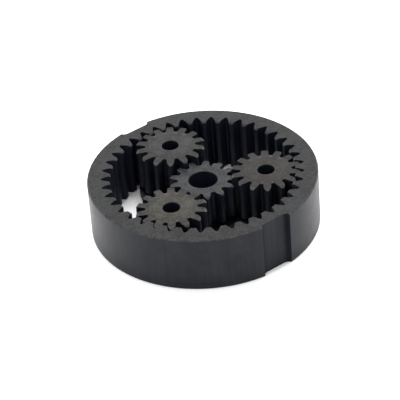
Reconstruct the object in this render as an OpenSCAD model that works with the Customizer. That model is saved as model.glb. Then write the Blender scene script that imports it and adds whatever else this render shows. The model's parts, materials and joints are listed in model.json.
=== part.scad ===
// Planetary gear set: a notched ring gear, a sun gear and three planet gears
// running on the pins of a three-arm carrier.
// Sizes are in millimetres. The set turns about Z and rests on Z = 0.

/* [Gear teeth] */
// Tooth size: pitch diameter divided by the number of teeth
gear_module = 0.8; // [0.8:0.05:1.2]
// Teeth on the sun gear; sun and planet teeth together must divide by three
sun_teeth = 13; // [13, 16, 19]
// Teeth on each planet gear
planet_teeth = 14; // [14, 17, 20]
// How much thinner each sun and planet tooth is than half the tooth pitch
tooth_play = 0.16; // [0.06:0.02:0.2]

/* [Ring gear] */
// Height of the ring gear
ring_width = 9.9; // [9:0.1:16]
// Wall left outside the tooth spaces of the ring
ring_rim = 2.38; // [1.8:0.02:5]
// Depth of the two notches in the outside of the ring
notch_depth = 1; // [0.4:0.1:1.2]
// Width of the notch floor
notch_floor = 3.8; // [2:0.1:8]
// Direction of the first notch, measured from the first planet
notch_direction = 127.1; // [90:0.1:150]

/* [Sun gear] */
// Bore that takes the driving shaft
sun_bore = 5; // [3:0.1:5.5]
// How far the top of the sun gear lies below the top of the ring
sun_drop = 1.4; // [0.5:0.1:3]

/* [Planet gears] */
// Bore that runs on the pin
planet_bore = 3; // [2:0.1:4]
// How far the planet hubs lie below the top of the ring
planet_drop = 0.15; // [0.1:0.05:1]
// Diameter of the slightly raised hub face
planet_hub = 7.4; // [5:0.1:8]
// How far the hub face stands above the tooth faces
planet_hub_rise = 0.05; // [0.05:0.01:0.2]

/* [Carrier and pins] */
// Thickness of the carrier plate
carrier_thickness = 2; // [1.5:0.1:3]
// Diameter of the carrier pad under each planet
carrier_pad = 12; // [8:0.1:12.4]
// Width of the arms between the hub and the pads
carrier_arm = 8; // [5:0.1:9]
// Diameter of the carrier hub
carrier_hub = 13.2; // [10:0.1:14]
// Bore in the carrier hub for the output shaft
carrier_bore = 6; // [4:0.1:7]
// Gap between a pin and the planet bore, all round
pin_clearance = 0.03; // [0.01:0.01:0.06]
// How far the pin ends lie below the planet hubs
pin_recess = 2.4; // [0.5:0.1:4]

/* [Hidden] */
$fn = 96;
planet_count = 3;
pressure_angle = 25;
sun_addendum = 0.75 * gear_module;
sun_dedendum = 1.2 * gear_module;
planet_addendum = 0.56 * gear_module;
planet_dedendum = 1.65 * gear_module;
ring_addendum = 0.8 * gear_module;
ring_dedendum = 1.15 * gear_module;
gear_tip_round = 0.45 * gear_module;
ring_tip_round = 0.12 * gear_module;
gear_tip_flat = 0.3;
ring_tip_flat = 0.8;
ring_root_flat = 0.5;
flank_steps = 6;
corner_steps = 4;
cut_extra = 1;
ring_teeth = sun_teeth + 2 * planet_teeth;
sun_pitch_r = gear_module * sun_teeth / 2;
planet_pitch_r = gear_module * planet_teeth / 2;
ring_pitch_r = gear_module * ring_teeth / 2;
planet_orbit_r = sun_pitch_r + planet_pitch_r;
ring_tip_r = ring_pitch_r - ring_addendum;
ring_root_r = ring_pitch_r + ring_dedendum;
ring_outer_r = ring_root_r + ring_rim;
ring_edge = 0.2;
ring_tooth_edge = 0.28;
planet_tooth_edge = 0.35;
sun_tooth_edge = 0.26;
bore_edge = 0.12;
floor_gap = 0.1;
carrier_top = floor_gap + carrier_thickness;
carrier_limit_r = ring_tip_r - 0.26;
running_gap = 0.15;
planet_bottom = carrier_top + running_gap;
planet_top = ring_width - planet_drop;
sun_bottom = carrier_top + 2 * running_gap;
sun_top = ring_width - sun_drop;
pin_r = planet_bore / 2 - pin_clearance;
pin_top = planet_top - pin_recess;
pin_edge = 0.25;
planet_turn = 180 - 180 / planet_teeth;
ring_turn = 180 * (planet_teeth - 1) / ring_teeth;

// Sub-part to show, or "all"

// Angle between the start of an involute and the point where it reaches radius r
function roll_angle(base_r, r) =
    let (a = acos(min(1, base_r / r)))
    tan(a) * 180 / PI - a;

// Half the angle a tooth covers at radius r; grow widens it along the pitch line
function half_angle(teeth, r, grow) =
    let (pitch_r = gear_module * teeth / 2, base_r = pitch_r * cos(pressure_angle))
    90 / teeth + roll_angle(base_r, pitch_r) - roll_angle(base_r, r)
        + grow / 2 / pitch_r * 180 / PI;

// Involute side of a tooth as [radius, angle] pairs, from the inside out
function flank(teeth, from_r, to_r, grow) = [
    for (i = [0:flank_steps])
        let (r = from_r + (to_r - from_r) * i / flank_steps)
        [r, half_angle(teeth, r, grow)]
];

// Rounded corner from a to c that leans towards b, without its two end points
function corner(a, b, c) = [
    for (i = [1:corner_steps - 1])
        let (t = i / corner_steps)
        (1 - t) * (1 - t) * a + 2 * t * (1 - t) * b + t * t * c
];

// The rounded end of a tooth or space, from its side to the flat part in its middle
function tooth_end(teeth, end_r, grow, round, flat_part) =
    let (
        side = [end_r - round, half_angle(teeth, end_r - round, grow)],
        point = [end_r, half_angle(teeth, end_r, grow)],
        flat = [end_r, point[1] * flat_part]
    )
    concat(corner(side, point, flat), [flat]);

// Half of an outside tooth, from the middle of the round-bottomed space to the tip
function gear_half(teeth, root_r, tip_r) =
    let (
        base_r = gear_module * teeth / 2 * cos(pressure_angle),
        start = [base_r, half_angle(teeth, base_r, -tooth_play)],
        bottom = [root_r, 180 / teeth]
    )
    concat(
        [bottom],
        corner(bottom, [root_r, start[1]], start),
        flank(teeth, base_r, tip_r - gear_tip_round, -tooth_play),
        tooth_end(teeth, tip_r, -tooth_play, gear_tip_round, gear_tip_flat)
    );

// Half of a tooth space of the ring, from the middle of a ring tooth outwards
function ring_half() =
    let (
        start_r = ring_tip_r + ring_tip_round,
        start = [start_r, half_angle(ring_teeth, start_r, 0)],
        point = [ring_tip_r, half_angle(ring_teeth, ring_tip_r, 0)],
        middle = [ring_tip_r, 180 / ring_teeth],
        land = middle + (point - middle) * ring_tip_flat
    )
    concat(
        [middle, land],
        corner(land, point, start),
        flank(ring_teeth, start_r, ring_root_r - ring_tip_round, 0),
        tooth_end(ring_teeth, ring_root_r, 0, ring_tip_round, ring_root_flat)
    );

// A closed outline: the half tooth and its mirror image, repeated all the way round
function outline(half, teeth) = [
    for (i = [0:teeth - 1])
        for (j = [0:2 * len(half) - 2])
            let (
                rising = j < len(half),
                spot = half[rising ? j : 2 * len(half) - 1 - j],
                angle = 360 * i / teeth + (rising ? -spot[1] : spot[1])
            )
            [spot[0] * cos(angle), spot[0] * sin(angle)]
];

// Round bar whose two end edges are cut back by edge
module edged_bar(r, height, edge) {
    cylinder(h = edge, r1 = r - edge, r2 = r);
    translate([0, 0, edge])
        cylinder(h = height - 2 * edge, r = r);
    translate([0, 0, height - edge])
        cylinder(h = edge, r1 = r, r2 = r - edge);
}

// Cutter for a hole from z = 0 to height with both edges opened out by edge
module edged_hole(r, height, edge) {
    translate([0, 0, -cut_extra])
        cylinder(h = height + 2 * cut_extra, r = r);
    mouth(r, edge);
    translate([0, 0, height])
        mirror([0, 0, 1])
            mouth(r, edge);
}

// Cone that opens out the lower edge of a hole
module mouth(r, edge) {
    translate([0, 0, -edge])
        cylinder(h = 3 * edge, r1 = r + 2 * edge, r2 = r - edge);
}

// Toothed disc with the outer corners of its teeth cut back at both faces
module toothed_disc(teeth, root_r, tip_r, width, edge) {
    intersection() {
        linear_extrude(width)
            polygon(outline(gear_half(teeth, root_r, tip_r), teeth));
        edged_bar(tip_r + edge / 4, width, edge * 5 / 4);
    }
}

module ring_gear() {
    color([0.17, 0.18, 0.2])
        difference() {
            edged_bar(ring_outer_r, ring_width, ring_edge);
            translate([0, 0, -cut_extra])
                rotate(ring_turn)
                    linear_extrude(ring_width + 2 * cut_extra)
                        polygon(outline(ring_half(), ring_teeth));
            mouth(ring_tip_r, ring_tooth_edge);
            translate([0, 0, ring_width])
                mirror([0, 0, 1])
                    mouth(ring_tip_r, ring_tooth_edge);
            for (side = [0, 180])
                rotate(notch_direction + side)
                    notch();
        }
}

// Cutter for one notch: a flat floor whose two sides curve up to the outside of the ring
module notch() {
    translate([ring_outer_r, 0, -cut_extra])
        linear_extrude(ring_width + 2 * cut_extra) {
            translate([-notch_depth, -notch_floor / 2])
                square([notch_depth + cut_extra, notch_floor]);
            translate([0, -notch_floor / 2 - notch_depth])
                square([cut_extra, notch_floor + 2 * notch_depth]);
            for (side = [-1, 1])
                translate([0, side * notch_floor / 2])
                    circle(notch_depth);
        }
}

module sun_gear() {
    color([0.22, 0.23, 0.26])
        translate([0, 0, sun_bottom])
            difference() {
                toothed_disc(
                    sun_teeth,
                    sun_pitch_r - sun_dedendum,
                    sun_pitch_r + sun_addendum,
                    sun_top - sun_bottom,
                    sun_tooth_edge
                );
                edged_hole(sun_bore / 2, sun_top - sun_bottom, bore_edge);
            }
}

module planet_gear(place) {
    height = planet_top - planet_bottom;
    orbit_angle = 360 * place / planet_count;
    turn = planet_turn + orbit_angle * (1 + sun_teeth / planet_teeth);
    color([0.26, 0.25, 0.23])
        rotate(orbit_angle)
            translate([planet_orbit_r, 0, planet_bottom])
                rotate(turn - orbit_angle)
                    difference() {
                        union() {
                            translate([0, 0, planet_hub_rise])
                                toothed_disc(
                                    planet_teeth,
                                    planet_pitch_r - planet_dedendum,
                                    planet_pitch_r + planet_addendum,
                                    height - 2 * planet_hub_rise,
                                    planet_tooth_edge
                                );
                            edged_bar(planet_hub / 2, height, planet_hub_rise / 2);
                        }
                        edged_hole(planet_bore / 2, height, bore_edge);
                    }
}

module planet_gear_1() {
    planet_gear(0);
}

module planet_gear_2() {
    planet_gear(1);
}

module planet_gear_3() {
    planet_gear(2);
}

module planet_carrier() {
    color([0.3, 0.3, 0.32])
        translate([0, 0, floor_gap])
            difference() {
                linear_extrude(carrier_thickness)
                    carrier_outline();
                edged_hole(carrier_bore / 2, carrier_thickness, bore_edge);
                for (place = [0:planet_count - 1])
                    rotate(360 * place / planet_count)
                        translate([planet_orbit_r, 0, -cut_extra])
                            cylinder(h = carrier_thickness + 2 * cut_extra, r = pin_r);
            }
}

// Round hub with three arms, each ending in a round pad
module carrier_outline() {
    intersection() {
        circle(r = carrier_limit_r);
        union() {
            circle(r = carrier_hub / 2);
            for (place = [0:planet_count - 1])
                rotate(360 * place / planet_count) {
                    translate([0, -carrier_arm / 2])
                        square([planet_orbit_r, carrier_arm]);
                    translate([planet_orbit_r, 0])
                        circle(r = carrier_pad / 2);
                }
        }
    }
}

module planet_pin(place) {
    color([0.5, 0.5, 0.52])
        rotate(360 * place / planet_count)
            translate([planet_orbit_r, 0, floor_gap])
                edged_bar(pin_r, pin_top - floor_gap, pin_edge);
}

module planet_pin_1() {
    planet_pin(0);
}

module planet_pin_2() {
    planet_pin(1);
}

module planet_pin_3() {
    planet_pin(2);
}

ring_gear();
sun_gear();
planet_gear_1();
planet_gear_2();
planet_gear_3();
planet_carrier();
planet_pin_1();
planet_pin_2();
planet_pin_3();
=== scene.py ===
import json
import math

import bpy
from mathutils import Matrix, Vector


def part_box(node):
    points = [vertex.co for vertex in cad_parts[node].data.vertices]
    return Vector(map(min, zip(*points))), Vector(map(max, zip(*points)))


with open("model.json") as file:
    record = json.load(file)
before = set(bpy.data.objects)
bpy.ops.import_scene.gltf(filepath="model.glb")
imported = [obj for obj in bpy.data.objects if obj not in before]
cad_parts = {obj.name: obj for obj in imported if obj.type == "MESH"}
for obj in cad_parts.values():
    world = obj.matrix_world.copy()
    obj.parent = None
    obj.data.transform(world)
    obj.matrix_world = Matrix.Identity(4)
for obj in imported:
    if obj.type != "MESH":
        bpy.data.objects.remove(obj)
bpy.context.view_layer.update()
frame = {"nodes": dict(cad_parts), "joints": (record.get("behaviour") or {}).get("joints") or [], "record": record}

MM = 0.001
nodes = frame["nodes"]
planet_places = {joint["child"]: joint["pos_m"] for joint in frame["joints"]}
mount_places = {mount["name"]: mount["pos_m"] for mount in frame["record"]["mounts"]}


# ---------------------------------------------------------------- camera

CAMERA_PLACE = (0.006247, -0.293586, 0.209600)
CAMERA_ANGLES = (54.9516, 3.7631, -1.2661)  # degrees


def make_camera():
    data = bpy.data.cameras.new("view_camera")
    data.sensor_width = 36.0
    data.lens = 188.3
    data.clip_start = 0.01
    data.clip_end = 10.0
    camera = bpy.data.objects.new("view_camera", data)
    bpy.context.scene.collection.objects.link(camera)
    camera.location = CAMERA_PLACE
    camera.rotation_euler = [math.radians(angle) for angle in CAMERA_ANGLES]
    bpy.context.scene.camera = camera


# ---------------------------------------------------------------- floor and light

FLOOR_HALF_SIZE = 3.0
FLOOR_DROP = 0.02 * MM  # keeps the floor clear of the undersides
# Strength of the painted glow on the floor outside the ring, which lifts the ring's contact shadow
FLOOR_PAINTED_GLOW = 0.3
GLOW_START = 0.6 * MM  # measured inwards from the outside of the ring
GLOW_FULL = 0.1 * MM

WORLD_FRONT = 1.25
WORLD_BEHIND = 1.9
WORLD_BEHIND_FROM = 0.6  # the y of a unit direction from which it is as bright as behind

SOFT_BOX_PLACE = (0.04, 0.22, 0.65)
SOFT_BOX_SIZE = 0.3
SOFT_BOX_WATTS = 3.6


def make_floor():
    """A large white table with a painted glow outside the ring, which lifts the ring's contact shadow; no glow
    inside the ring.
    """
    ring_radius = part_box("ring_gear")[1][0]
    mesh = bpy.data.meshes.new("floor")
    size = FLOOR_HALF_SIZE
    corners = [(-size, -size, 0), (size, -size, 0), (size, size, 0), (-size, size, 0)]
    mesh.from_pydata(corners, [], [(0, 1, 2, 3)])
    floor = bpy.data.objects.new("floor", mesh)
    bpy.context.scene.collection.objects.link(floor)
    floor.location.z = -FLOOR_DROP
    material = bpy.data.materials.new("floor")
    material.use_nodes = True
    n = Nodes(material)
    n.shader.inputs["Base Color"].default_value = (0.9, 0.9, 0.9, 1)
    n.shader.inputs["Roughness"].default_value = 0.7
    n.shader.inputs["Emission Color"].default_value = (1, 1, 1, 1)
    # Painted glow: emission outside the ring only, lifting the ring's contact shadow
    distance = n.length(n.add("ShaderNodeTexCoord").outputs["Object"])
    outside = n.ramp(distance, ring_radius - GLOW_START, ring_radius - GLOW_FULL)
    glow = n.maths("MULTIPLY", outside, FLOOR_PAINTED_GLOW)
    n.put(n.shader.inputs["Emission Strength"], glow)
    mesh.materials.append(material)


def make_world():
    """White surroundings, brighter behind the part."""
    world = bpy.data.worlds.new("studio")
    world.use_nodes = True
    tree = world.node_tree
    background = tree.nodes["Background"]
    background.inputs["Color"].default_value = (1, 1, 1, 1)
    direction = tree.nodes.new("ShaderNodeTexCoord")
    axes = tree.nodes.new("ShaderNodeSeparateXYZ")
    tree.links.new(direction.outputs["Generated"], axes.inputs[0])
    strength = tree.nodes.new("ShaderNodeMapRange")
    strength.interpolation_type = "SMOOTHSTEP"
    strength.inputs["From Min"].default_value = 0.0
    strength.inputs["From Max"].default_value = WORLD_BEHIND_FROM
    strength.inputs["To Min"].default_value = WORLD_FRONT
    strength.inputs["To Max"].default_value = WORLD_BEHIND
    tree.links.new(axes.outputs["Y"], strength.inputs["Value"])
    tree.links.new(strength.outputs["Result"], background.inputs["Strength"])
    bpy.context.scene.world = world
    bpy.context.scene.view_settings.view_transform = "Standard"


def make_soft_box():
    """A soft lamp high behind the part, turned towards it."""
    lamp = bpy.data.lights.new("soft_box", "AREA")
    lamp.shape = "DISK"
    lamp.size = SOFT_BOX_SIZE
    lamp.energy = SOFT_BOX_WATTS
    soft_box = bpy.data.objects.new("soft_box", lamp)
    bpy.context.scene.collection.objects.link(soft_box)
    soft_box.location = SOFT_BOX_PLACE
    soft_box.rotation_euler = (-soft_box.location).to_track_quat("-Z", "Y").to_euler()


# ---------------------------------------------------------------- node trees

class Nodes:
    """Short names for building a node tree."""

    def __init__(self, material):
        self.tree = material.node_tree
        self.shader = self.tree.nodes["Principled BSDF"]

    def add(self, kind, **inputs):
        node = self.tree.nodes.new(kind)
        for name, value in inputs.items():
            self.put(node.inputs[name], value)
        return node

    def put(self, socket, value):
        if isinstance(value, bpy.types.NodeSocket):
            self.tree.links.new(value, socket)
        else:
            socket.default_value = value

    def operate(self, kind, operation, *values):
        node = self.add(kind)
        node.operation = operation
        for socket, value in zip(node.inputs, values):
            self.put(socket, value)
        return node.outputs

    def maths(self, operation, a, b=0.0):
        return self.operate("ShaderNodeMath", operation, a, b)[0]

    def vector(self, operation, a, b):
        return self.operate("ShaderNodeVectorMath", operation, a, b)[0]

    def length(self, a):
        return self.operate("ShaderNodeVectorMath", "LENGTH", a)["Value"]

    def dot(self, a, b):
        return self.operate("ShaderNodeVectorMath", "DOT_PRODUCT", a, b)["Value"]

    def product(self, *values):
        result = values[0]
        for value in values[1:]:
            result = self.maths("MULTIPLY", result, value)
        return result

    def total(self, *parts):
        """Weighted sum of (value, weight) pairs."""
        result = 0.0
        for value, weight in parts:
            result = self.maths("ADD", self.maths("MULTIPLY", value, weight), result)
        return result

    def inverse(self, value):
        return self.maths("SUBTRACT", 1.0, value)

    def mix(self, amount, a, b):
        node = self.add("ShaderNodeMix")
        node.data_type = "RGBA"
        self.put(node.inputs[0], amount)
        self.put(node.inputs[6], a)
        self.put(node.inputs[7], b)
        return node.outputs[2]

    def blend(self, amount, dark_and_light):
        dark, light = dark_and_light
        return self.mix(amount, (*dark, 1), (*light, 1))

    def ramp(self, value, low, high):
        """0 at low and 1 at high, where low may be the larger of the two."""
        node = self.add("ShaderNodeMapRange", Value=value)
        node.inputs["From Min"].default_value = low
        node.inputs["From Max"].default_value = high
        return node.outputs["Result"]

    def noise(self, vector, scale, roughness):
        node = self.add("ShaderNodeTexNoise", Vector=vector, Scale=scale, Detail=3.0)
        node.inputs["Roughness"].default_value = roughness
        return node.outputs["Fac"]


# ---------------------------------------------------------------- steel

# Noise scales, in features per metre
PATCH_SCALE = 240.0
STAIN_SCALE = 850.0
DRAWING_SCALE = 1500.0
TURNING_SCALE = 2000.0
GRAIN_SCALE = 2600.0

# Radii on the ring between which a wall turns from tooth into outside
OUTSIDE_START = 17.8 * MM
OUTSIDE_FULL = 18.2 * MM

# Radii between which a wall turns from open outside into a recess
RECESS_START = 19.5 * MM
RECESS_FULL = 19.0 * MM

# Distances from the middle of a notch at which its dark corners begin and end
CORNER_IN = (1.95 * MM, 2.6 * MM)
CORNER_OUT = (2.95 * MM, 2.85 * MM)

STEEL_IOR = 1.28
STEEL_TINT = (1.0, 0.99, 0.97, 1)
# Lighter chamfer colour: wear that rubs the edges bare, and a painted highlight on them
BARE_STEEL_AND_HIGHLIGHT = (0.080, 0.079, 0.080, 1)

# (dark, light) pairs of colours
OUTSIDE = ((0.0000, 0.0008, 0.0040), (0.0080, 0.0090, 0.0130))
NAVY = ((0.0012, 0.0024, 0.0080), (0.0062, 0.0080, 0.0160))
BLUE_BLACK = ((0.0014, 0.0022, 0.0060), (0.0066, 0.0078, 0.0130))
GREY_FACE = ((0.0000, 0.0000, 0.0000), (0.0104, 0.0110, 0.0124))
# Carrier end faces, painted darker than the other steel faces as painted shade under the gears
CARRIER_SHADED_FACE = ((0.0000, 0.0003, 0.0010), (0.0026, 0.0031, 0.0046))
SUN_FACE = ((0.0020, 0.0025, 0.0035), (0.0220, 0.0230, 0.0255))
PIN_FACE = ((0.0200, 0.0200, 0.0220), (0.0500, 0.0500, 0.0540))
PLANET_FACES = {
    1: ((0.0000, 0.0000, 0.0000), (0.0095, 0.0080, 0.0060)),
    2: ((0.0000, 0.0000, 0.0000), (0.0105, 0.0102, 0.0094)),
    3: ((0.0010, 0.0008, 0.0000), (0.0200, 0.0185, 0.0150)),
}
PLANET_HUBS = {
    1: ((0.0000, 0.0000, 0.0000), (0.0165, 0.0130, 0.0100)),
    2: ((0.0000, 0.0000, 0.0000), (0.0200, 0.0204, 0.0205)),
    3: ((0.0070, 0.0055, 0.0010), (0.0330, 0.0305, 0.0240)),
}
PLANET_HUB_RADIUS = 3.7 * MM


def notch_corners(n, own):
    """Marks two strips through the rounded corners of the ring's two opposite notches."""
    x, y, _ = mount_places["key_notch_1"]
    angle = math.atan2(y, x)
    across = n.maths("ABSOLUTE", n.dot(own, (-math.sin(angle), math.cos(angle), 0)))
    return n.product(n.ramp(across, *CORNER_IN), n.ramp(across, *CORNER_OUT))


def steel(name, centre, face, side, outside=None, hub=None, hub_radius=0.0, turned=0.5, edge_wear_and_highlight=0.5):
    """Blackened pressed steel.

    face, side, outside and hub are the (dark, light) colours of the end faces, the walls,
    the ring's outer wall and the middle of the end faces, marked by rubbing; turned says how
    much the turning marks show on the faces, and the last argument how far the chamfers are painted lighter,
    partly as wear that rubs them bare and partly as a painted highlight.
    """
    material = bpy.data.materials.new(name)
    material.use_nodes = True
    n = Nodes(material)
    own = n.vector("SUBTRACT", n.add("ShaderNodeTexCoord").outputs["Object"], centre)
    radius = n.length(n.vector("MULTIPLY", own, (1, 1, 0)))
    normal = n.add("ShaderNodeNewGeometry").outputs["True Normal"]
    upright = n.maths("ABSOLUTE", n.dot(normal, (0, 0, 1)))

    # Regions
    flat = n.ramp(upright, 0.7, 0.95)
    walls = n.inverse(flat)
    chamfer = n.ramp(n.maths("ABSOLUTE", n.maths("SUBTRACT", upright, 0.7)), 0.28, 0.12)
    outer = n.ramp(radius, OUTSIDE_START, OUTSIDE_FULL)
    recessed = n.product(walls, n.ramp(radius, RECESS_START, RECESS_FULL))

    # Marks: circles on the faces, upright streaks on the walls, and stains on both
    circles = n.add("ShaderNodeCombineXYZ", X=radius).outputs[0]
    turning = n.product(n.noise(circles, TURNING_SCALE, 0.75), flat)
    upwards = n.vector("MULTIPLY", own, (1, 1, 0.03))
    drawing = n.product(n.noise(upwards, DRAWING_SCALE, 0.65), walls)
    marks = n.maths("ADD", turning, drawing)
    grain = n.noise(own, GRAIN_SCALE, 0.6)
    stains = n.noise(own, STAIN_SCALE, 0.6)
    patches = n.noise(own, PATCH_SCALE, 0.5)

    # Colour
    mark_share = 0.4 * turned
    grain_share = 0.55 - mark_share
    face_tone = n.total((patches, 0.2), (stains, 0.25), (grain, grain_share), (marks, mark_share))
    face_tone = n.ramp(face_tone, 0.45, 0.55)
    side_tone = n.total((patches, 0.5), (stains, 0.15), (marks, 0.35))
    side_tone = n.ramp(side_tone, 0.38, 0.62)
    colour = n.blend(side_tone, side)
    if outside:
        colour = n.mix(outer, colour, n.blend(side_tone, outside))
    colour = n.mix(flat, colour, n.blend(face_tone, face))
    if hub:
        on_hub = n.ramp(radius, hub_radius + 0.1 * MM, hub_radius - 0.3 * MM)
        colour = n.mix(n.product(flat, on_hub), colour, n.blend(face_tone, hub))
    # Chamfers painted lighter: partly wear that rubs them bare, partly a painted highlight on the edges
    chamfer_lightening = n.maths("ADD", n.product(face_tone, 0.6), 0.4)
    colour = n.mix(n.product(chamfer, chamfer_lightening, edge_wear_and_highlight), colour, BARE_STEEL_AND_HIGHLIGHT)
    n.put(n.shader.inputs["Base Color"], colour)

    # Gloss and relief
    rough = [(patches, 0.16), (stains, 0.14), (grain, 0.16), (walls, 0.1), (recessed, 0.16)]
    if outside:
        rough.append((n.product(notch_corners(n, own), outer, walls), 0.5))
    n.put(n.shader.inputs["Roughness"], n.maths("ADD", n.total(*rough), 0.05))
    n.shader.inputs["IOR"].default_value = STEEL_IOR
    n.shader.inputs["Specular Tint"].default_value = STEEL_TINT
    bump = n.add("ShaderNodeBump", Strength=0.5, Distance=0.02 * MM)
    relief = n.total((marks, 0.7), (n.product(grain, flat), 0.6), (stains, 0.3))
    n.put(bump.inputs["Height"], relief)
    n.put(n.shader.inputs["Normal"], bump.outputs["Normal"])
    return material


# ---------------------------------------------------------------- parts

WELD_DISTANCE = 0.03 * MM
FLAT_ANGLE = math.radians(0.5)
SHARP_ANGLE = math.radians(28)


def finish(node, material, edge):
    """Gives a carried-over part its material, and rounds its sharp edges to the width edge."""
    part = nodes[node]
    part.material_slots[0].material = material
    weld = part.modifiers.new("weld", "WELD")
    weld.merge_threshold = WELD_DISTANCE
    planar = part.modifiers.new("planar", "DECIMATE")
    planar.decimate_type = "DISSOLVE"
    planar.angle_limit = FLAT_ANGLE
    bevel = part.modifiers.new("bevel", "BEVEL")
    bevel.width = edge
    bevel.segments = 2
    bevel.limit_method = "ANGLE"
    bevel.angle_limit = SHARP_ANGLE
    normals = part.modifiers.new("normals", "WEIGHTED_NORMAL")
    normals.weight = 60


def finish_parts():
    middle = (0, 0, 0)
    ring = steel(
        "ring_black_steel", middle, GREY_FACE, NAVY, outside=OUTSIDE, turned=0.25, edge_wear_and_highlight=0.45)
    finish("ring_gear", ring, 0.03 * MM)
    sun = steel("sun_black_steel", middle, SUN_FACE, NAVY, turned=0.7, edge_wear_and_highlight=0.6)
    finish("sun_gear", sun, 0.05 * MM)
    # The carrier's end faces are painted darker, as painted shade under the gears
    carrier = steel("carrier_black_steel_painted_shade", middle, CARRIER_SHADED_FACE, NAVY, turned=0.5, edge_wear_and_highlight=0.1)
    finish("planet_carrier", carrier, 0.08 * MM)
    for number in (1, 2, 3):
        x, y, _ = planet_places[f"planet_{number}"]
        centre = (x, y, 0)
        planet = steel(
            f"planet_{number}_brown_steel", centre, PLANET_FACES[number], BLUE_BLACK,
            hub=PLANET_HUBS[number], hub_radius=PLANET_HUB_RADIUS, turned=1.0, edge_wear_and_highlight=0.8)
        finish(f"planet_gear_{number}", planet, 0.06 * MM)
        pin = steel(f"pin_{number}_grey_steel", centre, PIN_FACE, PIN_FACE, turned=0.5, edge_wear_and_highlight=0.2)
        finish(f"planet_pin_{number}", pin, 0.05 * MM)


make_camera()
make_floor()
make_world()
make_soft_box()
finish_parts()

bpy.context.view_layer.update()
